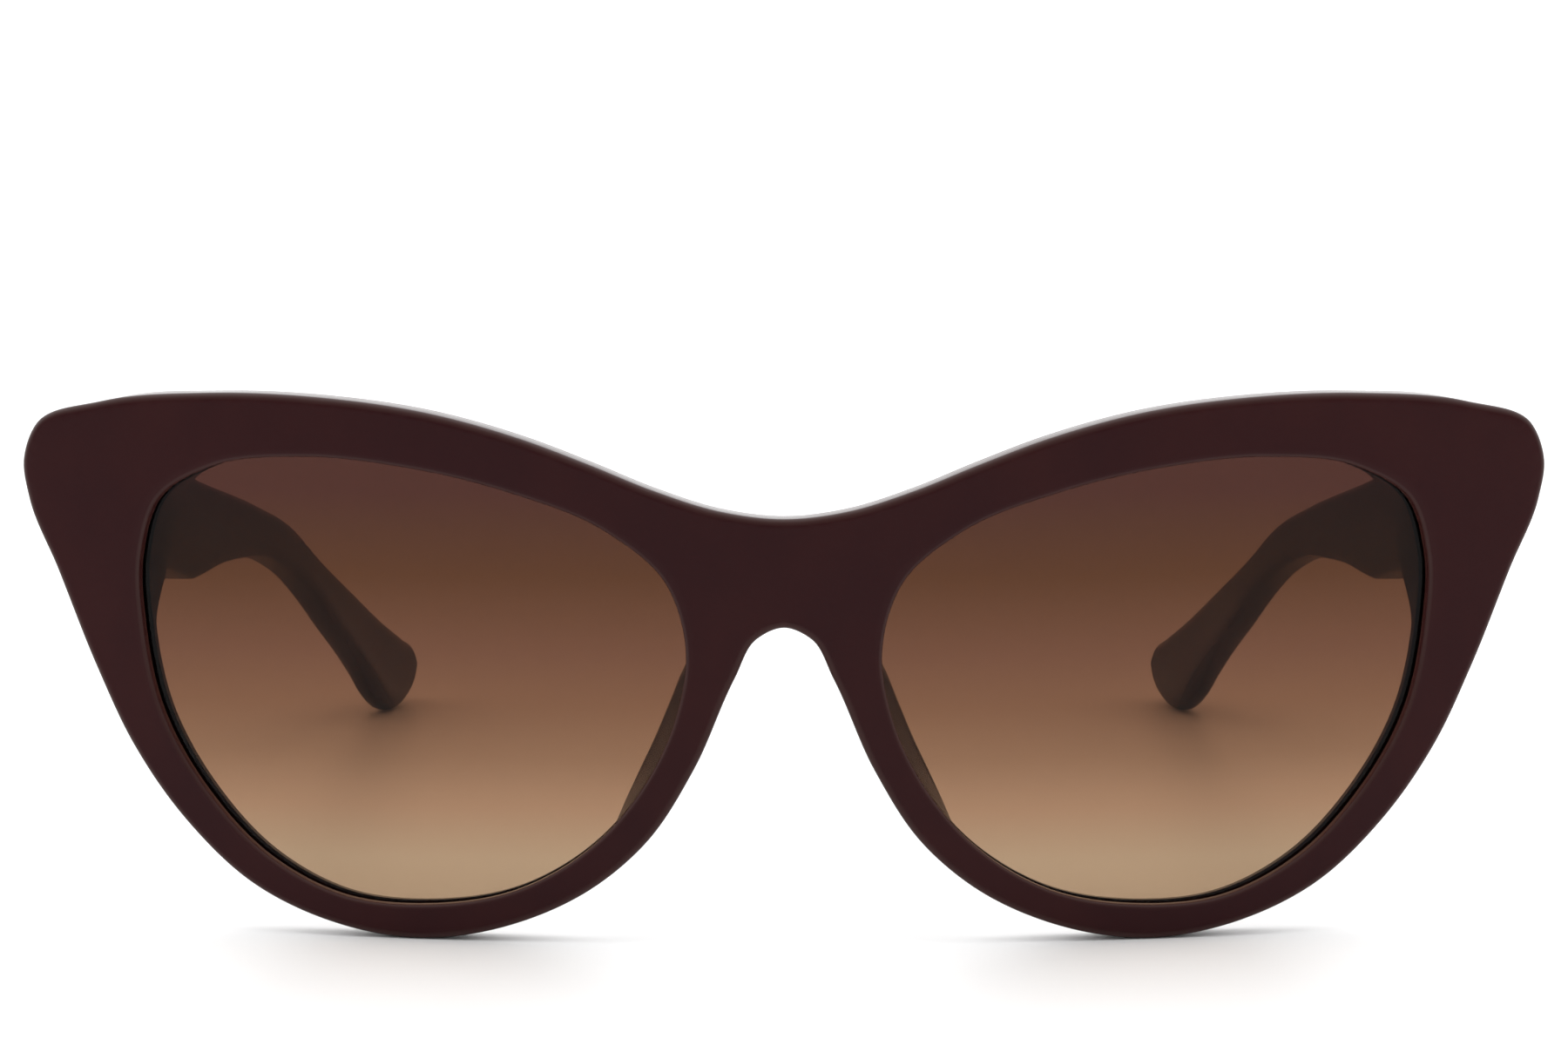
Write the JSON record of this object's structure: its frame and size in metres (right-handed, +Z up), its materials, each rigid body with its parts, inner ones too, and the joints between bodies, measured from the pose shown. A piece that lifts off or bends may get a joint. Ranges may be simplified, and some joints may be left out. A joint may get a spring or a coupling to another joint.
{
  "type": "cat eye sunglasses",
  "caption": "Cat eye sunglasses with a dark burgundy acetate front, brown graded lenses, and folding temples that step down to a slim shank and a paddle tip.",
  "frame": {"origin": "on the surface that the open sunglasses stand on, under the middle of their box", "axes": "+X to the wearer's left, +Y from the front towards the tips of the temples, +Z up"},
  "size_m": [0.149, 0.1508, 0.0529],
  "materials": {
    "acetate": "polished dark burgundy-brown cellulose acetate",
    "pad_acetate": "polished dark burgundy-brown cellulose acetate",
    "lens": "brown plastic, graded from dark at the brow to light at the cheek",
    "hinge_steel": "satin",
    "core_steel": "drawn wire, sealed in the temple"
  },
  "bodies": {
    "front": {"front_frame": "acetate", "lens_right": "lens", "lens_left": "lens", "nose_pad_right": "pad_acetate", "nose_pad_left": "pad_acetate", "front_hinge_right": "hinge_steel", "front_hinge_left": "hinge_steel", "hinge_screw_right": "hinge_steel", "hinge_screw_left": "hinge_steel", "front_hinge_pins_right": "hinge_steel", "front_hinge_pins_left": "hinge_steel"},
    "temple_right": {"temple_right": "acetate", "core_wire_right": "core_steel", "temple_hinge_right": "hinge_steel", "temple_hinge_pins_right": "hinge_steel"},
    "temple_left": {"temple_left": "acetate", "core_wire_left": "core_steel", "temple_hinge_left": "hinge_steel", "temple_hinge_pins_left": "hinge_steel"}
  },
  "joints": [
    {"name": "temple_right_fold", "type": "hinge", "parent": "front", "child": "temple_right", "pos_m": [-0.064, -0.05709, 0.0423], "axis": [0, 0, -1], "range_deg": [0, 80]},
    {"name": "temple_left_fold", "type": "hinge", "parent": "front", "child": "temple_left", "pos_m": [0.064, -0.05709, 0.0423], "axis": [0, 0, 1], "range_deg": [0, 85]}
  ]
}
